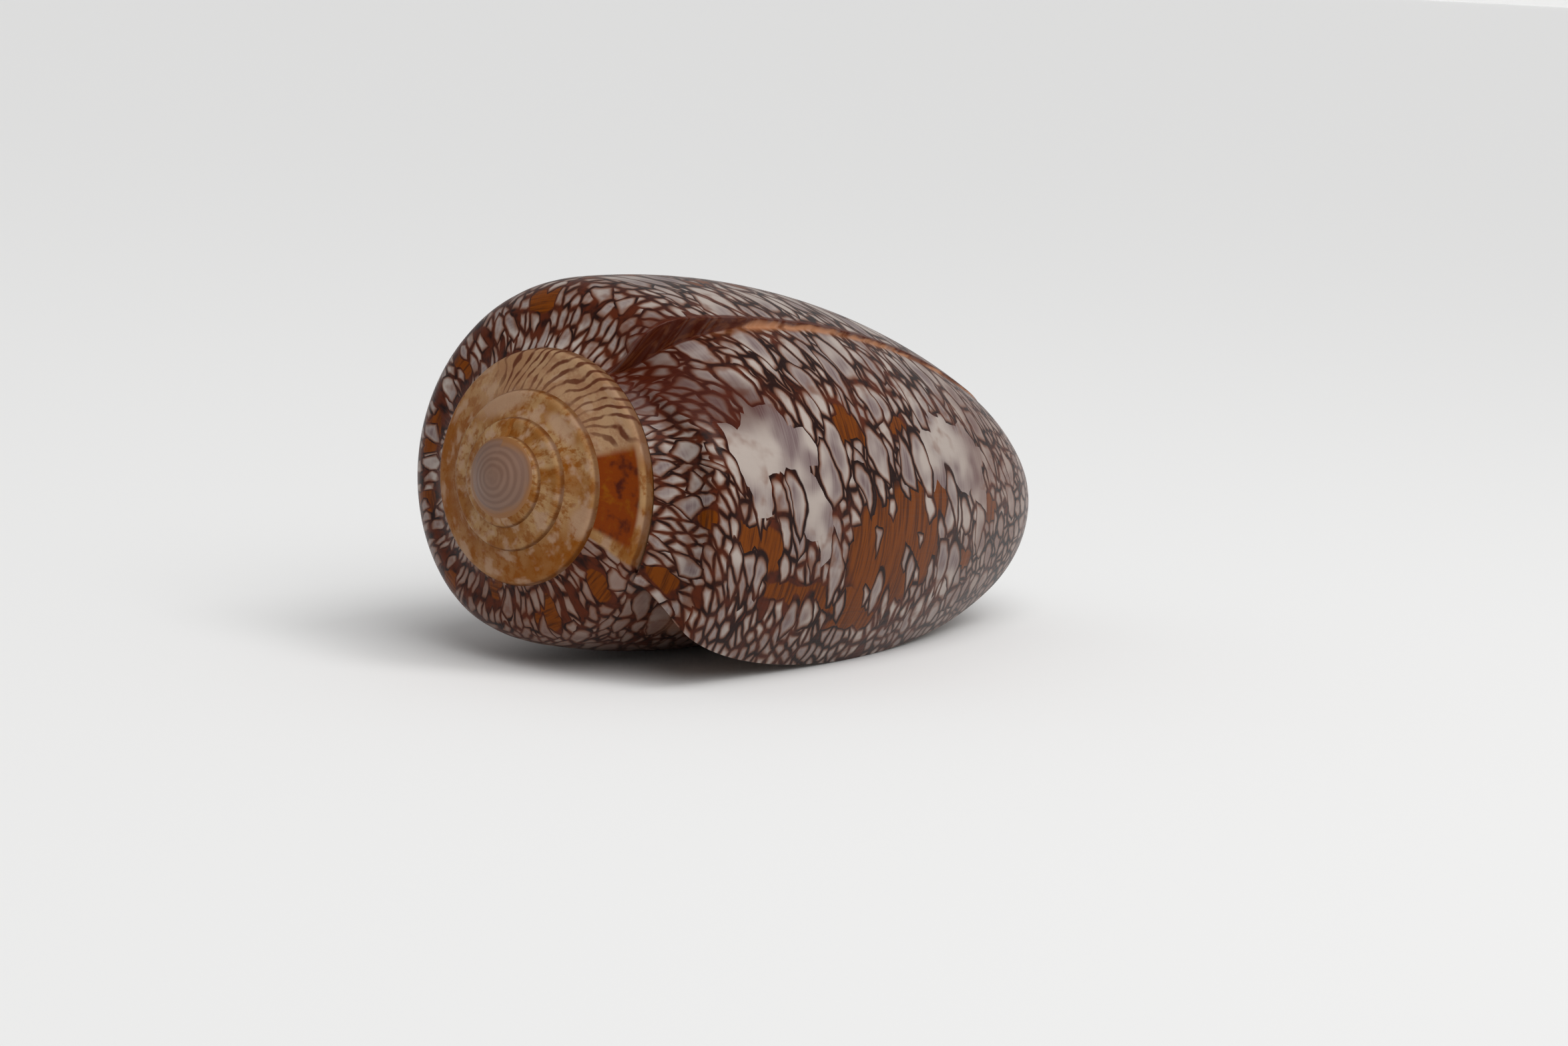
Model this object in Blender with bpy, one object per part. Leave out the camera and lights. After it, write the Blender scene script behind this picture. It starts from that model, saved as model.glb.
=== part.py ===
"""A right-handed cone shell, lying with its aperture down.

The shell is one spiral ribbon. A column of points is one growth line, from the suture over the ramp and the
shoulder and down the side to the narrow end. Columns follow each other round the axis, and each whorl starts on
the one before it. The axis runs along +X here, with the apex at the origin, until the last step lays the shell
on its resting side. Growth turns right-handed about the axis.
"""

import math

import bmesh
import bpy
from mathutils import Matrix, Vector

# Whole shell, in metres
LENGTH = 0.085
LIP_RADIUS = 0.0221
TURN_GROWTH = 1.417
LIP_ANGLE = math.radians(236.5)

# The spire inside the last whorl, and its eroded top
SPIRE_RADIUS = 0.0140
SPIRE_GROWTH = 1.477
SPIRE_TURNS_BACK = 1.17
LAST_WHORL_TURNS = (-1.08, -0.88)
SPIRE_SLOPE = 0.491
ERODED_RADIUS = 0.0040
ERODED_RISE = 0.0014
DOME_RING = (0.5, 0.8)

# Side of the last whorl
TIP_RADIUS = 0.0096
TIP_SHRINK = 0.60
TIP_ROUNDING = 0.82
ROUND_START = 0.80
SIDE_BULGE = 1.88
TIP_BACK = 0.008

# Ramp and shoulder
SUTURE_DROP = 0.045
SUTURE_LEAST = 0.0003
SPIRE_ROUNDING = 0.0005
OLD_ROUNDING = 0.0035
NEW_ROUNDING = 0.0014
ROUNDING_TURNS = (-1.05, -0.85)
MOST_ROUNDING = 0.45
FLAT_SHARE = 0.6
RAMP_HOLLOW = 0.04
CHANNEL_HOLLOW = 0.13
CHANNEL_TURNS = (-0.31, -0.17)

# The healed break: the older whorl stands proud of the newer one, whose shoulder starts further in
BREAK_TURN = -0.282
OLD_PROUD = 0.0008
SWELL_TURNS = (-0.88, -0.76)
EDGE_PROUD = 0.0004
EDGE_TURNS = (-0.50, -0.30)
NEW_INSET = 0.0063
INSET_TURNS = (-0.31, -0.12)
INSET_FALL = 0.005

# Aperture: a slit under the lip, whose edge lags at the notch and at the narrow end
WALL = 0.0016
WALL_GAIN = 0.6
SLIT_TURNS = 0.30
LAG_TURNS = 0.35
NOTCH_TURNS = 0.034
NOTCH_START = 0.0093
NOTCH_LENGTH = 0.009
LIP_END_TURNS = 0.13
LIP_END_START = 0.68

# How it lies: turned about its own axis, then tipped about Y
REST_TURN = math.radians(-9.8)
REST_TILT = math.radians(5.0)

# Mesh
COLUMNS = 48
RAMP_STEPS = 7
SIDE_STEPS = 20
SIDE_CROWDING = 1.6
WALL_STEPS = 4


def ease(start, end, value):
    """0 before start, 1 after end, smooth between."""
    part = min(1.0, max(0.0, (value - start) / (end - start)))
    return part * part * (3 - 2 * part)


def whorl_radius(turn):
    """Shoulder radius. The lip is at turn 0 and older shell is at negative turns."""
    spire = SPIRE_RADIUS * SPIRE_GROWTH ** (turn + SPIRE_TURNS_BACK)
    last = LIP_RADIUS * TURN_GROWTH**turn
    return spire + (last - spire) * ease(*LAST_WHORL_TURNS, turn)


def shoulder_depth(turn):
    """Distance of the shoulder from the apex, along the axis."""
    return SPIRE_SLOPE * whorl_radius(turn)


def is_new(turn):
    return turn > BREAK_TURN


def older_swell(turn):
    """What the older part of the last whorl stands out by."""
    if is_new(turn):
        return 0.0
    return OLD_PROUD * ease(*SWELL_TURNS, turn) + (EDGE_PROUD - OLD_PROUD) * ease(*EDGE_TURNS, turn)


def side_end(turn):
    return LENGTH - TIP_BACK * ease(0.0, -1.0, turn)


def side_radius(turn, along):
    """Radius of the side at a distance along the axis."""
    start = shoulder_depth(turn)
    part = (along - start) / (side_end(turn) - start)
    tip = TIP_RADIUS * (1 + TIP_SHRINK * turn)
    full = whorl_radius(turn) + older_swell(turn)
    radius = tip + (full - tip) * (1 - part) * (1 + SIDE_BULGE * part)
    if is_new(turn):
        inset = NEW_INSET * (1 - ease(*INSET_TURNS, turn))
        radius -= inset * math.exp(-(along - start) / INSET_FALL)
    over = max(0.0, (part - ROUND_START) / (1 - ROUND_START))
    return radius - TIP_ROUNDING * tip * (1 - math.sqrt(max(0.0, 1 - over * over)))


def suture_drop(turn):
    """How far below the shoulder the next whorl is attached."""
    return SUTURE_DROP * whorl_radius(turn) + SUTURE_LEAST


def shoulder_rounding(turn):
    if is_new(turn):
        return NEW_ROUNDING
    return SPIRE_ROUNDING + OLD_ROUNDING * ease(*ROUNDING_TURNS, turn)


def ramp_end(turn):
    """(distance along the axis, radius) of the foot of the shoulder, where the side begins."""
    start = shoulder_depth(turn)
    drop = suture_drop(turn)
    if turn > -1.0:
        drop = max(drop, shoulder_rounding(turn))
    return start + drop, side_radius(turn, start + drop)


FIRST_TURN = -SPIRE_TURNS_BACK - math.log(SPIRE_RADIUS / ERODED_RADIUS) / math.log(SPIRE_GROWTH)
LAST = round(-FIRST_TURN * COLUMNS)
RIM_DEPTH = SPIRE_SLOPE * ERODED_RADIUS


def suture(turn):
    if turn < FIRST_TURN + 1:
        return RIM_DEPTH, ERODED_RADIUS
    return ramp_end(turn - 1)


def ramp_point(turn, step):
    """Point of a growth line between the suture (step 0) and the foot of the shoulder (step 1)."""
    start_x, start_r = suture(turn)
    corner_x, corner_r = shoulder_depth(turn), side_radius(turn, shoulder_depth(turn))
    foot_x, foot_r = ramp_end(turn)
    width = math.hypot(corner_x - start_x, corner_r - start_r) + 1e-9
    blend = min(shoulder_rounding(turn) / width, MOST_ROUNDING)
    bend_x = corner_x + (start_x - corner_x) * blend
    bend_r = corner_r + (start_r - corner_r) * blend
    if step < FLAT_SHARE:
        part = step / FLAT_SHARE
        share = RAMP_HOLLOW + CHANNEL_HOLLOW * ease(*CHANNEL_TURNS, turn)
        hollow = share * width * math.sin(math.pi * part)
        return start_x + (bend_x - start_x) * part + hollow, start_r + (bend_r - start_r) * part
    part = (step - FLAT_SHARE) / (1 - FLAT_SHARE)
    a, b, c = (1 - part) ** 2, 2 * part * (1 - part), part * part
    return a * bend_x + b * corner_x + c * foot_x, a * bend_r + b * corner_r + c * foot_r


def growth_line(turn):
    """Every (x, radius) of one growth line, suture first."""
    line = [ramp_point(turn, j / RAMP_STEPS) for j in range(RAMP_STEPS + 1)]
    if turn < -1 - SLIT_TURNS - 1e-6:
        return line
    foot = line[-1][0]
    for j in range(1, SIDE_STEPS + 1):
        part = 1 - (1 - j / SIDE_STEPS) ** SIDE_CROWDING
        along = foot + (side_end(turn) - foot) * part
        line.append((along, side_radius(turn, along)))
    return line


def lip_shift(turn, along):
    """The growth lines lag at the notch by the shoulder and at the narrow end."""
    notch = NOTCH_TURNS * math.exp(-max(0.0, along - NOTCH_START) / NOTCH_LENGTH)
    end = LIP_END_TURNS * ease(LIP_END_START, 1.0, along / LENGTH) ** 2
    return -(notch + end) * ease(-LAG_TURNS, 0.0, turn)


def place(turn, along, radius):
    angle = LIP_ANGLE + math.tau * (turn + lip_shift(turn, along))
    return Vector((along, radius * math.cos(angle), radius * math.sin(angle)))


def inward(line, wall):
    """The growth line moved into the shell by a wall's thickness, which tapers off towards the suture."""
    moved = []
    for j, (x, r) in enumerate(line):
        ax, ar = line[max(0, j - 1)]
        bx, br = line[min(len(line) - 1, j + 1)]
        run = math.hypot(bx - ax, br - ar)
        depth = wall * min(1.0, j / WALL_STEPS)
        moved.append((x + depth * (br - ar) / run, r - depth * (bx - ax) / run))
    return moved


def build_shell():
    mesh = bmesh.new()
    lines = {i: growth_line((i - LAST) / COLUMNS) for i in range(LAST + 1)}
    grid = {}
    rim = []
    for i in range(COLUMNS):
        turn = (i - LAST) / COLUMNS
        rim.append(mesh.verts.new(place(turn, RIM_DEPTH, ERODED_RADIUS)))

    def vertex(i, j):
        if (i, j) in grid:
            return grid[i, j]
        if i == 0 or (i < COLUMNS and j == 0):
            made = rim[i % COLUMNS]
        elif j == 0:
            made = vertex(i - COLUMNS, RAMP_STEPS)
        else:
            made = mesh.verts.new(place((i - LAST) / COLUMNS, *lines[i][j]))
        grid[i, j] = made
        return made

    def face(*corners):
        distinct = list(dict.fromkeys(corners))
        if len(distinct) > 2:
            mesh.faces.new(distinct)

    slit = round(SLIT_TURNS * COLUMNS)
    foot, tip = RAMP_STEPS, RAMP_STEPS + SIDE_STEPS
    covered = LAST - COLUMNS - slit

    # Eroded top: a low dome of two rings
    apex = mesh.verts.new((RIM_DEPTH - ERODED_RISE, 0, 0))
    inwards, rise = DOME_RING
    ring_depth = RIM_DEPTH - ERODED_RISE * rise
    inner = [mesh.verts.new((ring_depth, v.co.y * inwards, v.co.z * inwards)) for v in rim]
    for k in range(COLUMNS):
        after = (k + 1) % COLUMNS
        face(apex, inner[k], inner[after])
        face(inner[k], rim[k], rim[after], inner[after])

    # Spire and shoulder
    for i in range(LAST):
        for j in range(foot):
            face(vertex(i, j), vertex(i + 1, j), vertex(i + 1, j + 1), vertex(i, j + 1))

    # Side of the last whorl, and under it the floor of the slit
    for i in range(covered, LAST):
        for j in range(foot, tip):
            if i < LAST - COLUMNS and j == foot:
                continue
            face(vertex(i, j), vertex(i + 1, j), vertex(i + 1, j + 1), vertex(i, j + 1))

    # Inner side of the lip
    ceiling = {}
    for i in range(LAST - slit, LAST + 1):
        turn = (i - LAST) / COLUMNS
        thickness = WALL * (1 + WALL_GAIN * (LAST - i) / slit)
        ceiling[i, 0] = vertex(i - COLUMNS, foot + 1)
        for j, (x, r) in enumerate(inward(lines[i], thickness)):
            if j > 0:
                ceiling[i, j] = mesh.verts.new(place(turn, x, r))
    for i in range(LAST - slit, LAST):
        for j in range(tip):
            face(ceiling[i, j], ceiling[i, j + 1], ceiling[i + 1, j + 1], ceiling[i + 1, j])
        face(vertex(i, tip), vertex(i + 1, tip), ceiling[i + 1, tip], ceiling[i, tip])

    # Edge of the lip
    for j in range(tip):
        face(vertex(LAST, j), ceiling[LAST, j], ceiling[LAST, j + 1], vertex(LAST, j + 1))

    # The slit's closed end
    back = LAST - slit
    for j in range(tip):
        near = vertex(covered, max(j, foot + 1))
        far = vertex(covered, max(j + 1, foot + 1))
        face(ceiling[back, j], near, far, ceiling[back, j + 1])

    # Narrow end, closed round the axis
    centre = mesh.verts.new((LENGTH - TIP_BACK * 0.5, 0, 0))
    for i in range(covered, back):
        face(vertex(i, tip), vertex(i + 1, tip), centre)
    face(vertex(back, tip), ceiling[back, tip], centre)
    face(ceiling[back, tip], vertex(covered, tip), centre)

    bmesh.ops.recalc_face_normals(mesh, faces=mesh.faces)
    return mesh


def lay_down(mesh):
    """Turns the shell on to its resting side, with its box centred over the origin."""
    turn = Matrix.Rotation(REST_TILT, 4, "Y") @ Matrix.Rotation(REST_TURN, 4, "X")
    bmesh.ops.transform(mesh, matrix=turn, verts=mesh.verts)
    low = Vector([min(v.co[k] for v in mesh.verts) for k in range(3)])
    high = Vector([max(v.co[k] for v in mesh.verts) for k in range(3)])
    middle = (low + high) / 2
    bmesh.ops.translate(mesh, vec=Vector((-middle.x, -middle.y, -low.z)), verts=mesh.verts)


def shell_material():
    material = bpy.data.materials.new("shell")
    material.use_nodes = True
    shader = material.node_tree.nodes["Principled BSDF"]
    shader.inputs["Base Color"].default_value = (0.42, 0.24, 0.15, 1)
    shader.inputs["Roughness"].default_value = 0.32
    shader.inputs["Metallic"].default_value = 0.0
    return material


for old in list(bpy.data.objects):
    bpy.data.objects.remove(old)

shell_mesh = build_shell()
lay_down(shell_mesh)
data = bpy.data.meshes.new("cone_shell")
shell_mesh.to_mesh(data)
shell_mesh.free()
data.shade_smooth()
data.set_sharp_from_angle(angle=math.radians(40))
data.materials.append(shell_material())
shell = bpy.data.objects.new("cone_shell", data)
bpy.context.scene.collection.objects.link(shell)
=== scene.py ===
# %% [markdown]
# # A cone shell, dressed
# The shell is one thing that grew as one piece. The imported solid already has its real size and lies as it
# rests, so this lesson keeps that frame and only gives the shell its fine surface, its tent pattern and its
# light.

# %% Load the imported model
import math
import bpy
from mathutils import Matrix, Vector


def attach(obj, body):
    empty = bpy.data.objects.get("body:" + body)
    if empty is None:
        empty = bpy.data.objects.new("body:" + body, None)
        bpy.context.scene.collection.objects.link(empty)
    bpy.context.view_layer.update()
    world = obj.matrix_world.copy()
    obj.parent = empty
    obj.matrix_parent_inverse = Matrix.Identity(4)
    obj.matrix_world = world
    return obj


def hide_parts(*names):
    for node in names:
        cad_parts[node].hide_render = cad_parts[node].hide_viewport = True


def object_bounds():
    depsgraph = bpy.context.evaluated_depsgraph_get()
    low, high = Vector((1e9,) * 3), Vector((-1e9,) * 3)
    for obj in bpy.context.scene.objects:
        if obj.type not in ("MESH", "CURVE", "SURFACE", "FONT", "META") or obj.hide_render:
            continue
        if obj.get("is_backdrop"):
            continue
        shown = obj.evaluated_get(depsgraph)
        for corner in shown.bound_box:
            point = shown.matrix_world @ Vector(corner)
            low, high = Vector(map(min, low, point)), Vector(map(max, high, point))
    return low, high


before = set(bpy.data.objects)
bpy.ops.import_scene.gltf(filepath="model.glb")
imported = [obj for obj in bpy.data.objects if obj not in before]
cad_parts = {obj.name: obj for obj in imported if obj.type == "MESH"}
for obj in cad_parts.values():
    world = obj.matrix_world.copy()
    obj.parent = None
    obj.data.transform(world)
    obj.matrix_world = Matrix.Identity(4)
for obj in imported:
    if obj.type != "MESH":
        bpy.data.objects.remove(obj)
cad_low, cad_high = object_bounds()
print("solid's box, mm:", [round(1000 * (h - l), 1) for l, h in zip(cad_low, cad_high)])

# %% [markdown]
# ## How the shell grew
# A shell grows at its lip. Every growth line has the same plan: a ramp out from the suture, a shoulder, and
# a long side down to the narrow end. Time runs round the axis. So the whole outside is one strip of growth
# lines, and a point on it has two numbers: the turn, 0 at the lip and negative in older shell, and the
# place along the line. The sizes below are those of the solid, in metres.

import bmesh
import bpy
import numpy as np
from mathutils import Matrix, Quaternion, Vector

LENGTH = 0.085
LIP_RADIUS = 0.0221
TURN_GROWTH = 1.417
SPIRE_RADIUS = 0.0140
SPIRE_GROWTH = 1.477
SPIRE_TURNS_BACK = 1.17
LAST_WHORL_TURNS = (-1.08, -0.88)
SPIRE_SLOPE = 0.491
TINY = 1e-9


def ease(start, end, value):
    part = np.clip((value - start) / (end - start), 0, 1)
    return part * part * (3 - 2 * part)


def whorl_radius(turn):
    spire = SPIRE_RADIUS * SPIRE_GROWTH ** (turn + SPIRE_TURNS_BACK)
    last = LIP_RADIUS * TURN_GROWTH**turn
    return spire + (last - spire) * ease(*LAST_WHORL_TURNS, turn)


def shoulder_depth(turn):
    return SPIRE_SLOPE * whorl_radius(turn)


print("last whorl's width at the lip, mm:", round(2000 * float(whorl_radius(np.array(0.0))), 1))


# %% [markdown]
# ## The side and the healed break
# Below the shoulder, the side bulges a little and narrows to a rounded end. At the healed break the older
# shell stands proud of the newer, whose shoulder starts further in and swells out again towards the lip. A
# narrow smooth step between the two keeps the strip in one piece.

# %% The side, from the shoulder to the narrow end
TIP_RADIUS = 0.0096
TIP_SHRINK = 0.60
TIP_ROUNDING = 0.82
ROUND_START = 0.80
SIDE_BULGE = 1.88
TIP_BACK = 0.008
BREAK_TURN = -0.282
BREAK_WIDTH = 0.0015
OLD_PROUD = 0.0008
SWELL_TURNS = (-0.88, -0.76)
EDGE_PROUD = 0.0004
EDGE_TURNS = (-0.50, -0.30)
NEW_INSET = 0.0063
INSET_TURNS = (-0.31, -0.12)
INSET_FALL = 0.005


def newness(turn):
    """0 on older shell and 1 past the healed break, over a narrow step."""
    return ease(BREAK_TURN - BREAK_WIDTH, BREAK_TURN + BREAK_WIDTH, turn)


def side_end(turn):
    return LENGTH - TIP_BACK * ease(0.0, -1.0, turn)


def side_radius(turn, along):
    start = shoulder_depth(turn)
    part = (along - start) / (side_end(turn) - start)
    tip = TIP_RADIUS * (1 + TIP_SHRINK * turn)
    new = newness(turn)
    swell = OLD_PROUD * ease(*SWELL_TURNS, turn) + (EDGE_PROUD - OLD_PROUD) * ease(*EDGE_TURNS, turn)
    full = whorl_radius(turn) + (1 - new) * swell
    radius = tip + (full - tip) * (1 - part) * (1 + SIDE_BULGE * part)
    inset = new * NEW_INSET * (1 - ease(*INSET_TURNS, turn))
    radius = radius - inset * np.exp(-(along - start) / INSET_FALL)
    over = np.clip((part - ROUND_START) / (1 - ROUND_START), 0, 1)
    return radius - TIP_ROUNDING * tip * (1 - np.sqrt(1 - over * over))


print("the side is", round(1000 * (LENGTH - float(shoulder_depth(np.array(0.0)))), 1), "mm long at the lip")


# %% [markdown]
# ## The ramp
# Each whorl starts on the one before it, a little under its shoulder, at the suture. Its ramp is slightly
# hollow and ends in the rounded shoulder. The inner end is read from the plan one turn earlier, so that
# neighbouring whorls meet.

# %% The ramp, from the suture to the shoulder
SUTURE_DROP = 0.045
SUTURE_LEAST = 0.0003
SPIRE_ROUNDING = 0.0005
OLD_ROUNDING = 0.0035
NEW_ROUNDING = 0.0014
ROUNDING_TURNS = (-1.05, -0.85)
MOST_ROUNDING = 0.45
FLAT_SHARE = 0.6
RAMP_HOLLOW = 0.04
CHANNEL_HOLLOW = 0.13
CHANNEL_TURNS = (-0.31, -0.17)
ERODED_RADIUS = 0.0040


def suture_drop(turn):
    return SUTURE_DROP * whorl_radius(turn) + SUTURE_LEAST


def shoulder_rounding(turn):
    old = SPIRE_ROUNDING + OLD_ROUNDING * ease(*ROUNDING_TURNS, turn)
    return old + (NEW_ROUNDING - old) * newness(turn)


def ramp_end(turn):
    drop = suture_drop(turn)
    drop = np.where(turn > -1.0, np.maximum(drop, shoulder_rounding(turn)), drop)
    foot = shoulder_depth(turn) + drop
    return foot, side_radius(turn, foot)


FIRST_TURN = -SPIRE_TURNS_BACK - math.log(SPIRE_RADIUS / ERODED_RADIUS) / math.log(SPIRE_GROWTH)
RIM_DEPTH = SPIRE_SLOPE * ERODED_RADIUS


def ramp_point(turn, step):
    """(distance along the axis, radius), from the suture, step 0, to the foot of the shoulder, step 1."""
    start_x, start_r = ramp_end(turn - 1)
    by_rim = turn < FIRST_TURN + 1
    start_x = np.where(by_rim, RIM_DEPTH, start_x)
    start_r = np.where(by_rim, ERODED_RADIUS, start_r)
    corner_x = shoulder_depth(turn)
    corner_r = side_radius(turn, corner_x)
    foot_x, foot_r = ramp_end(turn)
    width = np.hypot(corner_x - start_x, corner_r - start_r) + TINY
    blend = np.minimum(shoulder_rounding(turn) / width, MOST_ROUNDING)
    bend_x = corner_x + (start_x - corner_x) * blend
    bend_r = corner_r + (start_r - corner_r) * blend
    part = np.clip(step / FLAT_SHARE, 0, 1)
    share = RAMP_HOLLOW + CHANNEL_HOLLOW * ease(*CHANNEL_TURNS, turn)
    hollow = share * width * np.sin(np.pi * part)
    ramp_x = start_x + (bend_x - start_x) * part + hollow
    ramp_r = start_r + (bend_r - start_r) * part
    part = np.clip((step - FLAT_SHARE) / (1 - FLAT_SHARE), 0, 1)
    a, b, c = (1 - part) ** 2, 2 * part * (1 - part), part * part
    round_x = a * bend_x + b * corner_x + c * foot_x
    round_r = a * bend_r + b * corner_r + c * foot_r
    on_ramp = step < FLAT_SHARE
    return np.where(on_ramp, ramp_x, round_x), np.where(on_ramp, ramp_r, round_r)


print("spire starts", round(-FIRST_TURN, 2), "turns before the lip")


# %% [markdown]
# ## The lip's edge
# The edge of the lip lags behind at the notch by the suture and at the narrow end. That shift fades out in
# older shell. With it, the turn and the plan give a point in space, round the X axis.

# %% Where a point of the plan lies
LIP_ANGLE = math.radians(236.5)
LAG_TURNS = 0.35
NOTCH_TURNS = 0.034
NOTCH_START = 0.0093
NOTCH_LENGTH = 0.009
LIP_END_TURNS = 0.13
LIP_END_START = 0.68


def lip_shift(turn, along):
    notch = NOTCH_TURNS * np.exp(-np.maximum(0, along - NOTCH_START) / NOTCH_LENGTH)
    end = LIP_END_TURNS * ease(LIP_END_START, 1.0, along / LENGTH) ** 2
    return -(notch + end) * ease(-LAG_TURNS, 0.0, turn)


def place(turn, along, radius):
    angle = LIP_ANGLE + math.tau * (turn + lip_shift(turn, along))
    return np.stack([along + 0 * radius, radius * np.cos(angle), radius * np.sin(angle)], -1)


lip_corner = place(0.0, shoulder_depth(np.array(0.0)), whorl_radius(np.array(0.0)))
print("lip's corner, mm:", np.round(1000 * lip_corner, 1))

# %% [markdown]
# ## From a flat grid to a wound strip
# No primitive is a spiral that glues to itself. A grid primitive is, though, the same net of squares as a
# strip of growth lines, so each part starts as a grid, and its corners are then carried to their places on
# the shell. The UV map keeps the strip flat and in millimetres: U runs round the shell, 0 at the lip, and V
# runs down the growth line, 0 on the shoulder and negative on the ramp. The pattern is drawn in these two
# lengths.

# %% Points of the outside
COLUMNS = 240
RAMP_ROWS = 14
SIDE_ROWS = 130
SIDE_CROWDING = 1.4
SHOULDER_STEP = 0.8
MM_PER_TURN = 140.0


def side_point(turn, step):
    """Steps 1 to 2 run from the foot of the shoulder to the narrow end."""
    foot, _ = ramp_end(turn)
    along = foot + (side_end(turn) - foot) * (1 - (2 - step) ** SIDE_CROWDING)
    return along, side_radius(turn, along)


def outer(turn, step):
    x1, r1 = ramp_point(turn, np.minimum(step, 1.0))
    x2, r2 = side_point(turn, np.maximum(step, 1.0))
    return np.where(step <= 1, x1, x2), np.where(step <= 1, r1, r2)


def outer_place(turn, step):
    return place(turn, *outer(turn, step))


print("a growth line has", RAMP_ROWS + SIDE_ROWS, "steps, and a turn", COLUMNS)

# %% The flat map of the strip
FINE_STEPS = np.linspace(0, 2, 401)


def flat_map(turn, step):
    """(round the shell, down the growth line) in millimetres. The side counts its length along the axis,
    so that nothing jumps at the break."""
    down = np.empty(len(turn))
    for column in np.unique(turn):
        x, r = outer(np.full_like(FINE_STEPS, column), FINE_STEPS)
        tip_start = x[-1] + (ROUND_START - 1) * (x[-1] - shoulder_depth(column))
        on_side = (FINE_STEPS[1:] > SHOULDER_STEP) & (x[1:] < tip_start)
        pieces = np.where(on_side, np.diff(x), np.hypot(np.diff(x), np.diff(r)))
        length = 1000 * np.concatenate([[0], np.cumsum(pieces)])
        here = turn == column
        from_shoulder = length - np.interp(SHOULDER_STEP, FINE_STEPS, length)
        down[here] = np.interp(step[here], FINE_STEPS, from_shoulder)
    return np.stack([turn * MM_PER_TURN, down], -1)


print("growth line at the lip, mm:", np.round(flat_map(np.zeros(2), np.array([0.0, 2.0]))[:, 1], 1))


# %% Winding a grid
def wound_grid(name, turns, steps, shape, mapped=flat_map):
    """A grid with a column for each turn and a row for each step, carried to shape(turn, step)."""
    bpy.ops.object.select_all(action="DESELECT")
    bpy.ops.mesh.primitive_grid_add(x_subdivisions=len(turns) - 1, y_subdivisions=len(steps) - 1, size=2)
    piece = bpy.context.object
    piece.name = name
    mesh = piece.data
    flat = np.empty(len(mesh.vertices) * 3, np.float32)
    mesh.vertices.foreach_get("co", flat)
    flat = flat.reshape(-1, 3)
    column = np.rint((flat[:, 0] + 1) / 2 * (len(turns) - 1)).astype(int)
    row = np.rint((flat[:, 1] + 1) / 2 * (len(steps) - 1)).astype(int)
    turn, step = np.asarray(turns)[column], np.asarray(steps)[row]
    mesh.vertices.foreach_set("co", shape(turn, step).astype(np.float32).ravel())
    corner = np.empty(len(mesh.loops), np.int32)
    mesh.loops.foreach_get("vertex_index", corner)
    mesh.uv_layers.active.data.foreach_set("uv", mapped(turn, step)[corner].astype(np.float32).ravel())
    mesh.update()
    print(name, len(mesh.polygons), "faces")
    return piece


# %% [markdown]
# ## A small language for shader sums
# A pattern like this is arithmetic on two lengths. Wrapping a socket in a class that knows plus, minus,
# times and the rest lets each rule be written as a formula, and every sign makes its Math node.

# %% Sums of sockets
tree = None


class Shade:
    """A socket of the material in hand. A sum of it with numbers or other sockets makes Math nodes."""

    def __init__(self, socket):
        self.socket = socket

    @staticmethod
    def node(kind, settings=None, inputs=None):
        made = tree.nodes.new(kind)
        for name, value in (settings or {}).items():
            setattr(made, name, value)
        for key, value in (inputs or {}).items():
            if isinstance(value, Shade):
                tree.links.new(value.socket, made.inputs[key])
            else:
                made.inputs[key].default_value = value
        return made

    @staticmethod
    def math(operation, *values):
        made = Shade.node("ShaderNodeMath", {"operation": operation}, dict(enumerate(values)))
        return Shade(made.outputs[0])

    def __add__(self, other):
        return Shade.math("ADD", self, other)

    def __radd__(self, other):
        return Shade.math("ADD", other, self)

    def __sub__(self, other):
        return Shade.math("SUBTRACT", self, other)

    def __rsub__(self, other):
        return Shade.math("SUBTRACT", other, self)

    def __mul__(self, other):
        return Shade.math("MULTIPLY", self, other)

    def __rmul__(self, other):
        return Shade.math("MULTIPLY", other, self)

    def __truediv__(self, other):
        return Shade.math("DIVIDE", self, other)

    def __rtruediv__(self, other):
        return Shade.math("DIVIDE", other, self)

    def __pow__(self, other):
        return Shade.math("POWER", self, other)

    def __gt__(self, other):
        return Shade.math("GREATER_THAN", self, other)

    def __abs__(self):
        return Shade.math("ABSOLUTE", self)

    def sine(self):
        return Shade.math("SINE", self)

    def least(self, other):
        return Shade.math("MINIMUM", self, other)

    def most(self, other):
        return Shade.math("MAXIMUM", self, other)

    def round_least(self, other, rounding):
        return Shade.math("SMOOTH_MIN", self, other, rounding)

    def between(self, start, end):
        """0 where this is below start and 1 above end, smooth between them."""
        settings = {"interpolation_type": "SMOOTHSTEP"}
        inputs = {"Value": self, "From Min": start, "From Max": end}
        return Shade(Shade.node("ShaderNodeMapRange", settings, inputs).outputs["Result"])


# %% Helpers for values, colours and places
SCREEN_STRAIGHT = 11


def blend(amount, low, high):
    """low where amount is 0 and high where it is 1, for plain values."""
    return low + amount * (high - low)


def linear(red, green, blue):
    """A colour as a screen shows it, from 0 to 255, in the renderer's own scale."""

    def straight(level):
        if level < SCREEN_STRAIGHT:
            return level / 255 / 12.92
        return ((level / 255 + 0.055) / 1.055) ** 2.4

    return straight(red), straight(green), straight(blue), 1


def colours(amount, low, high):
    """One colour turning into another as amount goes from 0 to 1. A Mix node's colours are inputs 6, 7."""
    made = Shade.node("ShaderNodeMix", {"data_type": "RGBA"}, {0: amount, 6: low, 7: high})
    return Shade(made.outputs[2])


def vector(x, y):
    return Shade(Shade.node("ShaderNodeCombineXYZ", None, {"X": x, "Y": y}).outputs[0])


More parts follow.
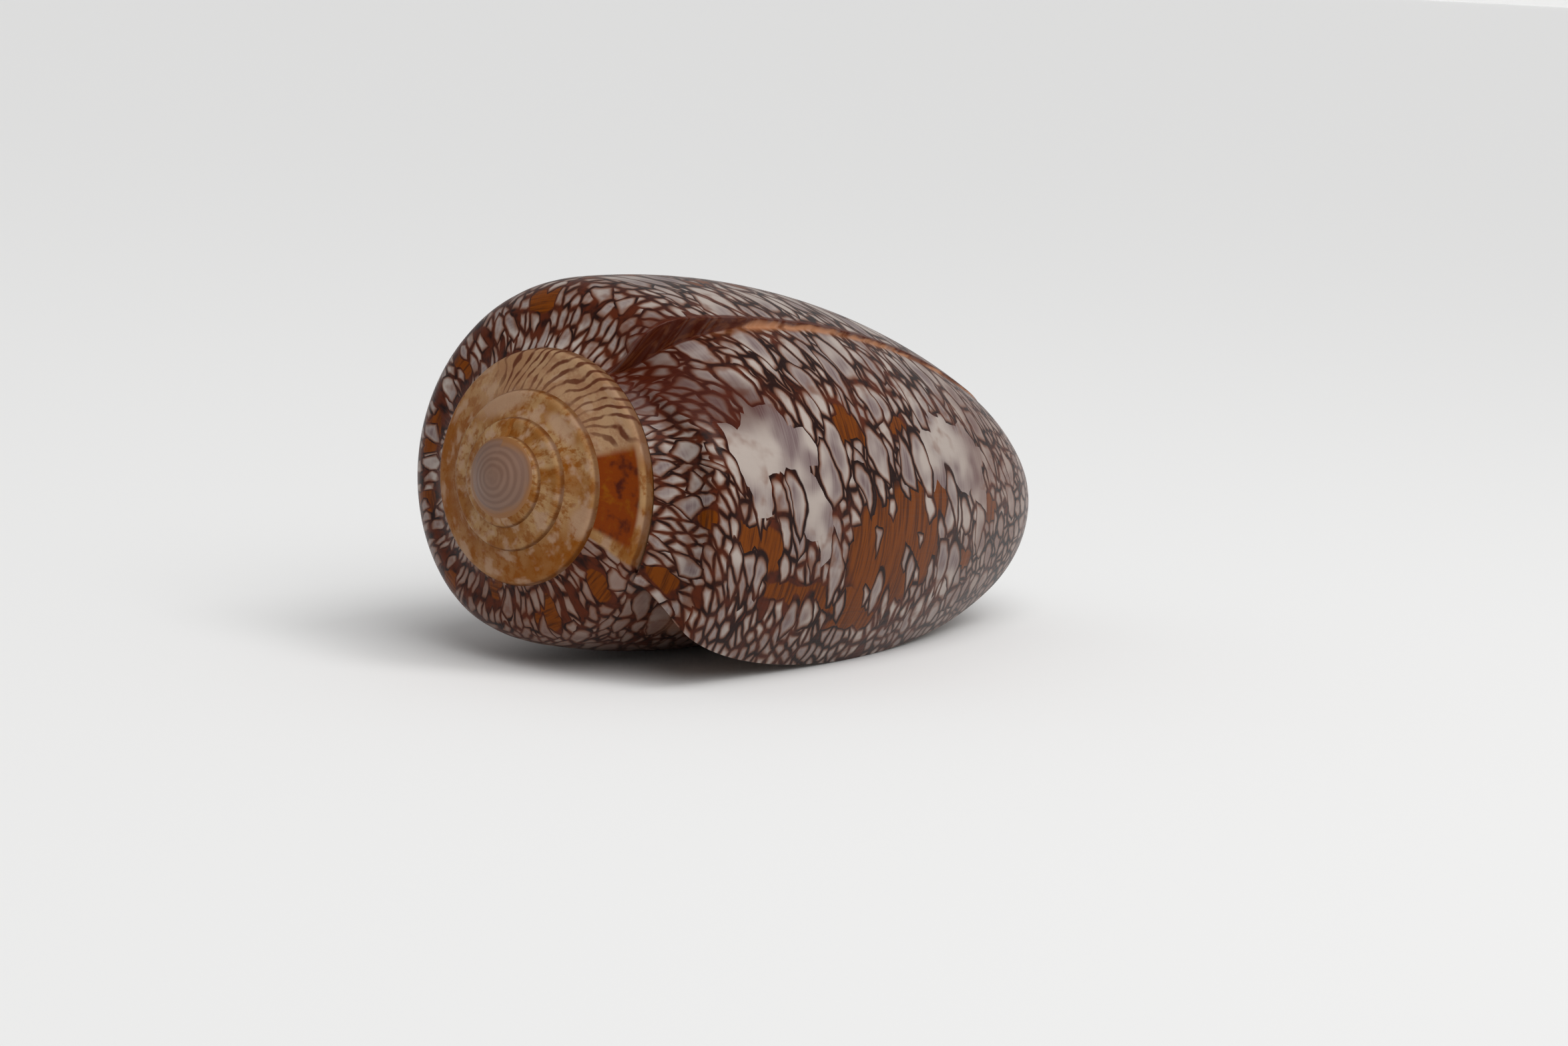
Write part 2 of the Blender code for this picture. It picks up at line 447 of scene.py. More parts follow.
def parts_of(socket):
    made = Shade.node("ShaderNodeSeparateXYZ", None, {0: socket})
    return Shade(made.outputs[0]), Shade(made.outputs[1]), Shade(made.outputs[2])


def noise(x, y, detail=2.0, roughness=0.5):
    """Soft noise about 0, roughly from -0.5 to 0.5, with features one unit wide."""
    inputs = {"Vector": vector(x, y), "Scale": 1.0, "Detail": detail, "Roughness": roughness}
    made = Shade.node("ShaderNodeTexNoise", {"noise_dimensions": "2D"}, inputs)
    return Shade(made.outputs[0]) - 0.5


# %% Helpers for a material
def new_material(name):
    global tree
    material = bpy.data.materials.new(name)
    material.use_nodes = True
    tree = material.node_tree
    return material, tree.nodes["Principled BSDF"]


def feed(shader, name, value):
    if isinstance(value, Shade):
        tree.links.new(value.socket, shader.inputs[name])
    else:
        shader.inputs[name].default_value = value


def relief(shader, height, metres):
    """Bumps as high as height times so many metres."""
    inputs = {"Height": height, "Distance": metres, "Strength": 1.0}
    bump = Shade.node("ShaderNodeBump", None, inputs)
    tree.links.new(bump.outputs["Normal"], shader.inputs["Normal"])


def flat_place():
    around, down, _ = parts_of(Shade(Shade.node("ShaderNodeUVMap").outputs[0]))
    return around, down


def finished(material):
    print(material.name, "has", len(material.node_tree.nodes), "nodes")
    return material


# %% [markdown]
# ## Tents
# The shell lays down its pattern as it grows: pale tents, round on the old side and pointed towards the
# lip, each with a dark outline. A Voronoi texture gives every tent its own centre. From the distances to
# that centre comes how far inside the tent a point lies, and a tent is kept or left out as a whole, so the
# edges of the brown blocks follow the tents.

# %% Where the marks are
# Each place is an ellipse: its middle round and down the shell, and its half lengths, in millimetres.
BROWN_BLOCKS = [
    (-12.4, 5.6, 2.4, 4.2),
    (-14.0, 28.5, 6.2, 9.0),
    (-18.5, 35.0, 3.5, 5.5),
    (-26.5, 20.0, 2.4, 4.2),
    (-27.3, 29.0, 1.2, 2.4),
    (-8.2, 18.0, 1.3, 12.0),
    (-5.8, 25.0, 1.4, 4.5),
    (-17.5, 50.0, 2.6, 2.6),
    (-12.0, 44.0, 1.6, 3.0),
    (-48.5, 16.0, 1.6, 9.0),
    (-53.0, 8.0, 1.8, 6.0),
    (-55.0, 24.0, 1.8, 7.0),
    (-128.7, -2.4, 2.6, 2.0),
    (-3.4, -5.3, 1.8, 2.0),
    (-12.7, -1.6, 1.2, 1.6),
    (-140.3, -1.7, 1.6, 1.8),
    (-56.5, -1.6, 2.2, 1.8),
    (-72.5, -3.7, 2.0, 1.6),
    (-84.0, -3.5, 3.5, 1.4),
    (-94.3, -3.0, 2.0, 1.8),
    (-117.6, -5.3, 2.0, 1.6),
    (-107.0, -2.0, 2.0, 1.4),
    (-62.0, 27.0, 6.0, 8.0),
    (-77.0, 47.0, 5.0, 8.0),
    (-90.0, 18.0, 5.0, 8.0),
    (-106.0, 38.0, 6.0, 8.0),
    (-119.0, 14.0, 4.0, 7.0),
]
WHITE_PLACES = [
    (-22.0, 7.9, 3.3, 7.2),
    (-24.2, 42.5, 3.2, 8.0),
    (-16.0, 13.5, 2.6, 2.6),
    (-68.0, 12.0, 3.5, 7.0),
    (-97.0, 30.0, 3.5, 8.0),
    (-57.0, 44.0, 3.0, 8.0),
]
PALE_PLACES = [
    (-22.0, 3.5, 3.5, 4.5),
    (-26.0, 40.0, 2.0, 5.0),
    (-45.5, 13.0, 2.5, 9.0),
    (-68.0, 8.0, 3.0, 5.0),
]
CREAM_PLACES = [
    (-289.4, -0.8, 4.0, 1.2),
    (-340.0, -0.5, 9.0, 1.6),
    (-316.0, -1.6, 6.0, 0.8),
]
YELLOW_PLACES = [
    (-278.6, -0.6, 10.0, 2.4),
    (-262.0, -1.5, 12.0, 2.4),
    (-232.0, -1.2, 20.0, 2.4),
    (-302.0, -2.4, 6.0, 1.0),
    (-213.0, -5.0, 7.0, 3.0),
]
# Hollows on the shoulder by the break, darkened with painted shade.
SHADED_HOLLOW_PLACES = [
    (-34.5, -1.0, 8.0, 5.0),
    (-28.0, 3.0, 3.5, 6.0),
]
print(len(BROWN_BLOCKS), "brown blocks,", len(WHITE_PLACES), "wide white places")


# %% Inside a place or outside
def within(places, around, down, softness=0.1):
    """1 inside any of the places and 0 outside all of them."""
    here = vector(around, down)
    found = None
    for middle_around, middle_down, half_around, half_down in places:
        inputs = {
            0: here,
            1: (1 / half_around, 1 / half_down, 0),
            2: (-middle_around / half_around, -middle_down / half_down, 0),
        }
        scaled = Shade.node("ShaderNodeVectorMath", {"operation": "MULTIPLY_ADD"}, inputs)
        inputs = {0: Shade(scaled.outputs[0])}
        length = Shade.node("ShaderNodeVectorMath", {"operation": "LENGTH"}, inputs)
        reach = Shade(length.outputs["Value"])
        found = reach if found is None else found.least(reach)
    return 1 - found.between(1 - softness, 1 + softness)


# %% [markdown]
# ## How one tent is drawn
# A tent is half an ellipse on its old side and a triangle on its new side. Its dark line has the same width
# everywhere, so the depth inside it is counted in millimetres. Five layers of different sizes lie over each
# other, as the small tents near the shoulder and the large ones lower down do on the real shell.

# %% One layer of tents
LINE = 0.46
EDGE_BLUR = 0.12
CORNER_ROUNDING = 0.35
SCATTER = 0.85
HALF_WIDTH = 0.54
ROUND_REACH = 0.55
POINT_REACH = 0.85
DEPTH_SHARE = 0.6
TENT_SIZES = (0.75, 1.15)
KEPT_IN_BROWN = 0.15
FEWER_ON_OLD_RAMP = 0.22
OLD_RAMP_UP_TO = (-60.0, 1.5)
DEEP = 10.0
ABSENT = 100.0
NO_LIMIT = 99.0


def tents(
    around,
    down,
    length,
    width,
    lean,
    seed,
    share,
    fill,
    above=-NO_LIMIT,
    below=NO_LIMIT,
    before=NO_LIMIT,
    merge=1.0,
):
    """(cover, white, depth) of one layer: where its tents are, where they are white, and how deep inside.
    Tents are kept where their centres lie between above and below down the shell, and before this place
    round it. With merge 1 they run together in the wide white places."""
    x = (down - lean * around) / width + seed
    y = around / length + seed
    settings = {"voronoi_dimensions": "2D", "feature": "F1"}
    inputs = {"Vector": vector(x, y), "Scale": 1.0, "Randomness": SCATTER}
    cell = Shade.node("ShaderNodeTexVoronoi", settings, inputs)
    centre_x, centre_y, _ = parts_of(Shade(cell.outputs["Position"]))
    chance, size_chance, _ = parts_of(Shade(cell.outputs["Color"]))
    settings = {"voronoi_dimensions": "2D", "feature": "DISTANCE_TO_EDGE"}
    edge = Shade(Shade.node("ShaderNodeTexVoronoi", settings, inputs).outputs["Distance"])
    edge = edge * (0.5 * (length + width))

    centre_around = (centre_y - seed) * length
    centre_down = (centre_x - seed) * width + lean * centre_around
    brown = within(BROWN_BLOCKS, centre_around, centre_down)
    white_place = merge * within(WHITE_PLACES, centre_around, centre_down)

    size = blend(size_chance, *TENT_SIZES) * fill
    across = abs(x - centre_x) / HALF_WIDTH / size
    onward = (y - centre_y) / size
    round_top = (across * across + (onward / ROUND_REACH) ** 2.0) ** 0.5
    point = across + onward.most(0.0) / POINT_REACH
    reach = blend(onward > 0.0, round_top, point)
    inside = (1 - reach) * size * (DEPTH_SHARE * width)

    old_around, old_down = OLD_RAMP_UP_TO
    old_ramp = 1 - (centre_down > old_down).most(centre_around > old_around)
    kept = blend(brown, share - FEWER_ON_OLD_RAMP * old_ramp, KEPT_IN_BROWN * share)
    inside = inside - ABSENT * (chance > kept) * (1 - white_place) + DEEP * white_place
    left_out = (centre_down > below).most(centre_around > before).most(1 - (centre_down > above))
    inside = inside - ABSENT * left_out
    edge = edge + DEEP * white_place
    cover = inside.between(-0.5 * LINE - EDGE_BLUR, -0.5 * LINE + EDGE_BLUR)
    depth = inside.round_least(edge, CORNER_ROUNDING)
    white = depth.between(0.5 * LINE - EDGE_BLUR, 0.5 * LINE + EDGE_BLUR)
    return cover, white, depth


# %% Layers over each other, the first one lowest
TENT_LAYERS = [
    dict(length=1.4, width=2.4, lean=0.0, seed=8.1, share=0.97, fill=1.5, below=0.4, merge=0.0),
    dict(length=2.2, width=1.4, lean=0.3, seed=3.3, share=0.97, fill=1.5, above=-0.6, merge=0.0),
    dict(length=2.4, width=3.2, lean=0.0, seed=27.3, share=0.4, fill=1.3, below=-0.6),
    dict(length=4.2, width=2.1, lean=0.3, seed=17.9, share=0.7, fill=1.1, above=1.5, before=-4.0),
    dict(length=6.4, width=3.1, lean=0.3, seed=41.2, share=0.5, fill=1.1, above=4.0, before=-9.0),
]


def piled(layers):
    """(cover, white, depth) of all the layers together."""
    covered, white, depth = layers[0]
    white = white * covered
    for cover, layer_white, layer_depth in layers[1:]:
        white = blend(cover, white, layer_white)
        depth = blend(cover, depth, layer_depth)
        covered = covered.most(cover)
    return covered, white, depth


print(len(TENT_LAYERS), "layers of tents")

# %% [markdown]
# ## The colours
# The pale tents are bluish white and lilac, with a warm tint at their edges. The lines are almost black
# where the shell is new and redder where it is older, and the blocks are a streaked golden brown. The spire
# is worn, so it keeps only cream, tan and orange mottles. The warm edge tint also paints shade over older
# shell and the narrow end, and the scar's dark red paints shade by the break. The colours are given as a
# screen shows them.

# %% Colours of the shell
DARK_LINE = linear(30, 12, 9)
GAP = linear(78, 32, 14)
BLOCK = linear(108, 52, 2)
BLOCK_LINE = linear(72, 31, 3)
WHITE = linear(166, 154, 146)
LILAC = linear(106, 88, 88)
EDGE_TINT_AND_SHADE = linear(108, 72, 56)
PALE_CREAM = linear(158, 128, 104)
CREAM = linear(152, 118, 80)
TAN = linear(128, 82, 36)
ORANGE = linear(114, 60, 4)
YELLOW = linear(122, 66, 4)
RED_ORANGE = linear(112, 46, 2)
RIM = linear(162, 112, 80)
RIM_LOW = linear(110, 62, 34)
# Dark red of the spire's blotches and of the scar, also used as painted shade by the break.
SCAR_RED_AND_SHADE = linear(66, 22, 10)
CALLUS = linear(140, 100, 78)
WORN_DARK = linear(104, 74, 58)
WORN_PALE = linear(134, 104, 86)
LINING_DARK = linear(176, 160, 148)
LINING_PALE = linear(196, 184, 174)
print("a pale tent in the renderer's scale:", np.round(WHITE[:3], 2))


# %% The spire's mottles and lines
def spire_colour(around, down):
    """Cream and tan with orange mottles. Dark lines cross the widest ramp above and right of the middle."""
    wide_ramp = around.between(-218.0, -200.0) * (1 - around.between(-165.0, -162.0))
    patches = noise(around / 12.0 + 5.0, down / 5.0, 2.0).between(-0.12, 0.12)
    mottle = noise(around / 3.0, down / 1.2 + 3.0, 4.0, 0.65).between(-0.06, 0.16)
    pale = noise(around / 6.0 + 40.0, down / 1.8, 3.0).between(0.0, 0.2)
    pale = pale.most(wide_ramp * 0.6).most(within(CREAM_PLACES, around + 2.0 * mottle, down, 0.4))
    colour = colours(patches, TAN, CREAM)
    colour = colours(mottle * 0.75, colour, ORANGE)
    yellow = within(YELLOW_PLACES, around + 3.0 * mottle, down, 0.6)
    colour = colours(yellow * blend(mottle, 0.6, 0.9), colour, YELLOW)
    colour = colours(pale * 0.75, colour, PALE_CREAM)
    drift = noise(around / 8.0 + 50.0, down / 4.0, 1.0)
    curved = around - 0.10 * (down + 8.0) ** 2.0
    lines = (curved * 2.6 + 15.0 * drift).sine() - 2.4 * noise(around / 2.5, down / 1.5 + 9.0)
    lined = blend(down.between(-5.0, -1.5), 0.6, 1.0) * lines.between(0.1, 1.0)
    lined = lined * around.between(-207.0, -200.0) * (1 - around.between(-168.0, -166.0))
    colour = colours(lined * 0.9, colour, GAP)
    # Darker at the foot of each shoulder, where the next whorl starts: partly a dark suture line, partly
    # painted shade in the crease.
    colour = colours(0.6 * down.between(-0.1, 0.2), colour, BLOCK_LINE)
    block = around.between(-167.0, -165.0) * (1 - around.between(-150.0, -148.5))
    block = block * (1 - down.between(-0.9, -0.4))
    blotch = noise(around / 3.5 + 9.0, down / 1.6, 3.0)
    block_colour = colours(blotch.between(0.0, 0.25), RED_ORANGE, SCAR_RED_AND_SHADE)
    block_colour = colours((-1.0 * blotch).between(0.05, 0.25), block_colour, YELLOW)
    return colours(block, colour, block_colour)


# %% Brown blocks, and the lines and gaps between the tents
def ground_colours(around, down, block, reddish):
    """(under the tents, in their lines)."""
    streaks = noise(around / 7.0, down / 0.45, 3.0, 0.6).between(-0.1, 0.2)
    redder = noise(around / 1.6, down / 1.6).between(-0.2, 0.25)
    line_colour = colours(reddish * redder, DARK_LINE, GAP)
    gap_colour = colours(noise(around / 2.0, down / 2.0).between(-0.15, 0.2), line_colour, GAP)
    return colours(block, gap_colour, colours(streaks, BLOCK, BLOCK_LINE)), line_colour


# %% The inside of a tent
def tile_colour(around, down, depth, pale_place, reddish):
    """White to lilac, streaked along the growth, with a warm edge; painted shade dulls it in older shell
    and far down.
    """
    streaks = noise(around / 9.0, down / 0.3, 1.0).between(-0.1, 0.2)
    cloudy = noise(around / 5.0, down / 4.0, 1.0).between(-0.22, 0.16)
    lilac = blend(depth.between(0.2, 1.3), 0.5, 1.0) * cloudy
    lilac = lilac * (1 - pale_place)
    tile = colours(lilac * (0.8 + 0.2 * streaks), WHITE, LILAC)
    tile = colours(1 - depth.between(0.2, 0.7), tile, EDGE_TINT_AND_SHADE)
    worn_tile = noise(around / 2.2 + 11.0, down / 2.2 + 5.0).between(-0.05, 0.3) * reddish
    # Painted shade: the older side and the narrow end turn towards the edge tint.
    older = 1 - around.between(-115.0, -85.0)
    painted_shade = (0.6 * older).most(0.4 * down.between(40.0, 50.0))
    return colours((0.8 * worn_tile).most(painted_shade), tile, EDGE_TINT_AND_SHADE)


# %% [markdown]
# ## The healed break in colour
# Just past the break the new shell came out without a pattern: a pale orange band with rusty parts. Painted
# shade lies before it on the shoulder, where the channel is hollow, and a thin dark scar follows the ledge,
# partly a dark broken edge and partly painted shadow on the ledge's wall. All three are measured from the
# break.

# %% Band, painted shade and scar along the break
BREAK_AT = BREAK_TURN * MM_PER_TURN


def with_break(colour, around, down, down_w, shaded_hollow):
    """The colour so far, with the three marks of the break laid over it."""
    past = around - BREAK_AT + 0.5 * noise(down / 3.0, around / 3.0)
    wide = 1 - down.between(10.0, 26.0)
    ragged = 0.5 * noise(down / 2.5, around / 2.0, 2.0)
    near_break = past.between(-0.2, 0.0) * (1 - (past - 0.6 * wide + ragged).between(0.0, 0.9))
    near_break = near_break * down_w.between(5.0, 14.0)
    rusty = noise(down / 4.0 + 2.0, around / 2.0, 3.0).between(-0.05, 0.15).most(past.between(0.2, 1.0))
    colour = colours(0.9 * near_break, colour, colours(rusty, RIM, RIM_LOW))

    # Painted shade in the hollow channel on the shoulder, in the scar's dark red.
    hollow_shade = shaded_hollow * past.between(-12.0, 0.0)
    colour = colours(0.7 * hollow_shade, colour, SCAR_RED_AND_SHADE)

    # The scar's dark red is partly the broken edge and partly painted shadow on the ledge's wall; near the
    # shoulder it reaches further over the wall.
    shade = 0.7 * (1 - down.between(5.0, 15.0))
    scar_and_shadow = past.between(-0.8, -0.5) * (1 - (past - shade).between(-0.2, 0.1))
    mottled = noise(down / 1.3, past / 0.12, 3.0).between(-0.05, 0.15)
    strength = blend(down.between(-4.0, 0.0), 0.6, 0.9)
    return colours(strength * scar_and_shadow, colour, colours(mottled * 0.4, SCAR_RED_AND_SHADE, RIM_LOW))


# %% The whole outside
SPIRE_FROM = -147.0
SPIRE_BLUR = 0.4
SHINE = 0.08
GROWTH_RELIEF = 0.00003


def outside_material():
    material, shader = new_material("shell outside")
    around, down = flat_place()
    warp_a = noise(around / 3.5, down / 3.5)
    warp_b = noise(around / 3.5 + 31.0, down / 3.5)
    wave = noise(around / 17.0 + 7.0, down / 17.0, 1.0)
    around_w = around + 1.1 * warp_a + 2.0 * wave
    down_w = down + 1.1 * warp_b
    covered, white, depth = piled([tents(around_w, down_w, **layer) for layer in TENT_LAYERS])

    reddish = noise(around / 9.0 + 3.0, down / 9.0, 1.0).between(-0.12, 0.15)
    reddish = reddish.most(1 - down.between(-1.0, 5.0)).most(1 - around.between(-105.0, -90.0))
    block = within(BROWN_BLOCKS, around_w + 1.2 * warp_b, down_w)
    ground, line_colour = ground_colours(around, down, block, reddish)
    pale_place = within(PALE_PLACES, around_w, down_w + 2.0 * wave, 0.5)
    colour = colours(covered, ground, line_colour)
    colour = colours(white, colour, tile_colour(around, down, depth, pale_place, reddish))

    shaded_hollow = within(SHADED_HOLLOW_PLACES, around_w, down_w, 0.5)
    colour = with_break(colour, around, down, down_w, shaded_hollow)
    callus = (1 - around_w.between(-136.5, -134.0)) * down_w.between(7.0, 16.0)
    colour = colours(callus, colour, CALLUS)
    off_spire = (around + 0.6 * warp_a).between(SPIRE_FROM - SPIRE_BLUR, SPIRE_FROM + SPIRE_BLUR)
    on_spire = 1 - off_spire.most(down.between(2.0, 3.0))
    colour = colours(on_spire, colour, spire_colour(around, down))

    feed(shader, "Base Color", colour)
    feed(shader, "Roughness", 0.30 + 0.15 * on_spire)
    feed(shader, "Specular IOR Level", SHINE)
    growth = noise(around / 0.5, down / 14.0, 3.0) + 0.4 * noise(around / 9.0, down / 0.35, 1.0)
    relief(shader, growth, GROWTH_RELIEF)
    return finished(material)


# %% [markdown]
# ## The worn top and the lining
# The worn top shows the layers it was ground through, as faint rings. The inner side of the lip never had a
# pattern: it is pale, smooth and a little cloudy.

# %% The worn top and the inner side of the lip
WORN_ROUGHNESS = 0.5
LINING_ROUGHNESS = 0.28


def worn_material():
    material, shader = new_material("worn top")
    around, ring = flat_place()
    soft = noise(around / 40.0, ring, 2.0)
    rings = (ring * 9.5 + 3.0 * soft).sine() * ring.between(0.3, 1.4)
    colour = colours(rings.between(-1.0, 1.0) * 0.4 + 0.4 * soft, WORN_DARK, WORN_PALE)
    colour = colours((ring + 2.0 * soft).between(3.1, 4.0), colour, TAN)
    feed(shader, "Base Color", colour)
    feed(shader, "Roughness", WORN_ROUGHNESS)
    return finished(material)


def lining_material():
    material, shader = new_material("lining")
    around, down = flat_place()
    colour = colours(noise(around / 6.0, down / 3.0).between(-0.3, 0.3), LINING_DARK, LINING_PALE)
    feed(shader, "Base Color", colour)
    feed(shader, "Roughness", LINING_ROUGHNESS)
    return finished(material)


# %% The three surfaces
outside = outside_material()
worn = worn_material()
inner = lining_material()

# %% [markdown]
# ## The outside, in two pieces
# The spire piece holds the ramp of every whorl. The side piece goes down from the shoulder and covers the
# last whorl and the slit, because older sides lie hidden inside. The break is a narrow step, so the columns
# stand closer there, and at the same place of the other whorls, so that neighbours share their corners.

# %% The outside of the shell
SLIT_TURNS = 0.30
BREAK_COLUMNS = np.array([-2.0, -1.2, -0.6, 0.0, 0.6, 1.2, 2.0]) * BREAK_WIDTH
WHORLS = 5


def columns_from(start):
    """Evenly spaced turns up to the lip, with closer ones at the break and one, two and more whorls
    before it, so that neighbouring whorls share their corners."""
    even = np.arange(start, 1) / COLUMNS
    close = np.concatenate([BREAK_TURN - whorls + BREAK_COLUMNS for whorls in range(WHORLS)])
    return np.union1d(even, close[close > start / COLUMNS])


slit_columns = round(SLIT_TURNS * COLUMNS)
first_column = round(-FIRST_TURN * COLUMNS)
turns_all = columns_from(-first_column)
ramp_steps = np.linspace(0, 1, RAMP_ROWS + 1)
side_steps = np.linspace(1, 2, SIDE_ROWS + 1)
spire = wound_grid("spire", turns_all, ramp_steps, outer_place)
turns_last = columns_from(-COLUMNS - slit_columns)
side = wound_grid("side", turns_last, side_steps, outer_place)

# %% [markdown]
# ## The inner side of the lip
# The lip is a thin wall over the shell that is a turn older. Its inner face is the outer one moved inwards
# by the wall, thin at the edge and thicker further in. The edge and the slit's closed end are filled
# afterwards.


# %% Inner side of the lip
WALL = 0.0016
WALL_GAIN = 0.6
WALL_STEP = 0.55
SMALL_STEP = 1e-3


def inner_place(turn, step):
    xa, ra = outer(turn, np.clip(step - SMALL_STEP, 0, 2))
    xb, rb = outer(turn, np.clip(step + SMALL_STEP, 0, 2))
    run = np.hypot(xb - xa, rb - ra)
    x, r = outer(turn, step)
    wall = WALL * (1 - WALL_GAIN * turn / SLIT_TURNS) * np.clip(step / WALL_STEP, 0, 1)
    return place(turn, x + wall * (rb - ra) / run, r - wall * (xb - xa) / run)


turns_slit = columns_from(-slit_columns)
steps_all = np.concatenate([ramp_steps, side_steps[1:]])
lining = wound_grid("lining", turns_slit, steps_all, inner_place)


# %% Strips that close the lip edge, the slit and the narrow end
def strip(name, turns, steps, near, far, rows, width=0.0):
    """A grid whose rows go from the curve near(turn, step) to the curve far(turn, step)."""
    round_it = len(turns) > 1

    def ends(place_along):
        turn = place_along if round_it else turns[0] + 0 * place_along
        step = steps[0] + 0 * place_along if round_it else place_along
        return turn, step

    def shape(place_along, across):
        turn, step = ends(place_along)
        return near(turn, step) * (1 - across[:, None]) + far(turn, step) * across[:, None]

    def mapped(place_along, across):
        return flat_map(*ends(place_along)) + np.stack([0 * across, width * across], -1)

    return wound_grid(name, turns if round_it else steps, np.linspace(0, 1, rows + 1), shape, mapped)


EDGE_ROWS = 3
BACK_ROWS = 2
CAP_ROWS = 10
AT_LIP = np.array([0.0])
AT_SLIT_BACK = np.array([-SLIT_TURNS])
AT_NARROW_END = np.array([2.0])


def older_place(turn, step):
    return outer_place(turn - 1, step)


def end_middle(turn, step):
    return np.array([LENGTH - TIP_BACK / 2, 0, 0]) + 0 * outer_place(turn, step)


lip_edge = strip("lip_edge", AT_LIP, steps_all, outer_place, inner_place, EDGE_ROWS)
end_edge = strip("end_edge", turns_slit, AT_NARROW_END, outer_place, inner_place, EDGE_ROWS)
slit_back = strip("slit_back", AT_SLIT_BACK, side_steps, older_place, inner_place, BACK_ROWS)
turns_closed = turns_last[turns_last <= -SLIT_TURNS + TINY]
cap_width = 1000 * TIP_RADIUS
end_cap = strip("end_cap", turns_closed, AT_NARROW_END, outer_place, end_middle, CAP_ROWS, cap_width)

# %% [markdown]
# ## The worn top
# The first whorls have worn away to a low dome with rings, like a cut log. It is one more grid, wound from
# the rim where the spire begins to the centre.


# %% The worn top
ERODED_RISE = 0.0014
RING_HEIGHT = 0.00003
RINGS = 4.5
TOP_ROWS = 24


def worn_top(turn, part):
    """Part 0 is the rim and part 1 the centre."""
    ring = RING_HEIGHT * np.sin(part * math.tau * RINGS) * (1 - part)
    depth = RIM_DEPTH - ERODED_RISE * np.sin(part * math.pi / 2) - ring
    return place(turn, depth, ERODED_RADIUS * (1 - part))


def worn_map(turn, part):
    return np.stack([turn * MM_PER_TURN, 1000 * ERODED_RADIUS * (1 - part)], -1)


first_turns = turns_all[turns_all <= 1 - first_column / COLUMNS + TINY]
top = wound_grid("worn_top", first_turns, np.linspace(0, 1, TOP_ROWS + 1), worn_top, worn_map)

# %% [markdown]
# ## One closed shell
# The parts share their corners, so joining them and merging what lies together closes the strip. Near the
# lip the suture slides a little against the older whorl, so corners on open edges are merged from further
# apart there, and the last gaps are filled. Then all faces are turned to point outwards.

# %% One shell from the parts
SAME_PLACE = 2e-6
SEAM_GAP = 0.00018
FLAT_FACE = 1e-7
parts = [spire, side, lining, lip_edge, end_edge, slit_back, end_cap, top]
surfaces = {"spire": outside, "side": outside, "end_cap": outside, "worn_top": worn}
for part in parts:
    part.data.materials.clear()
    part.data.materials.append(surfaces.get(part.name, inner))
bpy.ops.object.select_all(action="DESELECT")
for part in parts:
    part.select_set(True)
bpy.context.view_layer.objects.active = spire
bpy.ops.object.join()
shell = bpy.context.object
shell.name = "shell_surface"
mesh = bmesh.new()
mesh.from_mesh(shell.data)
bmesh.ops.remove_doubles(mesh, verts=mesh.verts, dist=SAME_PLACE)
open_corners = [corner for corner in mesh.verts if corner.is_boundary]
bmesh.ops.remove_doubles(mesh, verts=open_corners, dist=SEAM_GAP)
bmesh.ops.dissolve_degenerate(mesh, edges=mesh.edges, dist=FLAT_FACE)
open_edges = [edge for edge in mesh.edges if edge.is_boundary]
bmesh.ops.holes_fill(mesh, edges=open_edges, sides=0)
bmesh.ops.recalc_face_normals(mesh, faces=mesh.faces)
still_open = sum(edge.is_boundary for edge in mesh.edges)
mesh.to_mesh(shell.data)
mesh.free()
print("shell:", len(shell.data.polygons), "faces,", still_open, "open edges")

# %% [markdown]
# ## Laying it down
# The shell turns about its axis and tips, as the solid did, and is then fitted to the solid's box. The fine
# surface bulges a hair more than the solid's flat faces, so it is made a touch smaller to stay inside.

# %% Lay it down and fit it
REST_TURN = math.radians(-9.8)
REST_TILT = math.radians(5.0)
SMOOTH_UNDER = math.radians(50)

points = np.empty(len(shell.data.vertices) * 3, np.float32)
shell.data.vertices.foreach_get("co", points)
points = points.reshape(-1, 3)
lay = np.array(Matrix.Rotation(REST_TILT, 3, "Y") @ Matrix.Rotation(REST_TURN, 3, "X"))
points = points @ lay.T
low, high = points.min(0), points.max(0)
fit = min((np.array(cad_high) - np.array(cad_low)) / (high - low))
middle = (np.array(cad_low) + np.array(cad_high)) / 2
shift = np.array([middle[0], middle[1], cad_low[2]]) - fit * np.array([*(low + high)[:2] / 2, low[2]])
shell.data.vertices.foreach_set("co", (points * fit + shift).astype(np.float32).ravel())
shell.data.update()
apex = fit * (lay @ np.array([RIM_DEPTH - ERODED_RISE, 0, 0])) + shift
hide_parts("cone_shell")
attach(shell, "root")
bpy.ops.object.select_all(action="DESELECT")
shell.select_set(True)
bpy.context.view_layer.objects.active = shell
bpy.ops.object.shade_smooth_by_angle(angle=SMOOTH_UNDER)
print("fitted by", round(float(fit), 4), "apex at", np.round(apex * 1000, 1))

# %% [markdown]
# ## The camera
# The photograph looks at the spire from a little above. The camera stands where the spire's centre falls on
# its pixel, and it turns to the picture's middle.

# %% Camera
PICTURE = (2350, 1568)
FOCAL_PIXELS = 6127
APEX_PIXEL = (737.0, 715.3)
APEX_DISTANCE = 0.400
AZIMUTH = math.radians(-48.53)
ELEVATION = math.radians(7.44)
ROLL = math.radians(2.44)

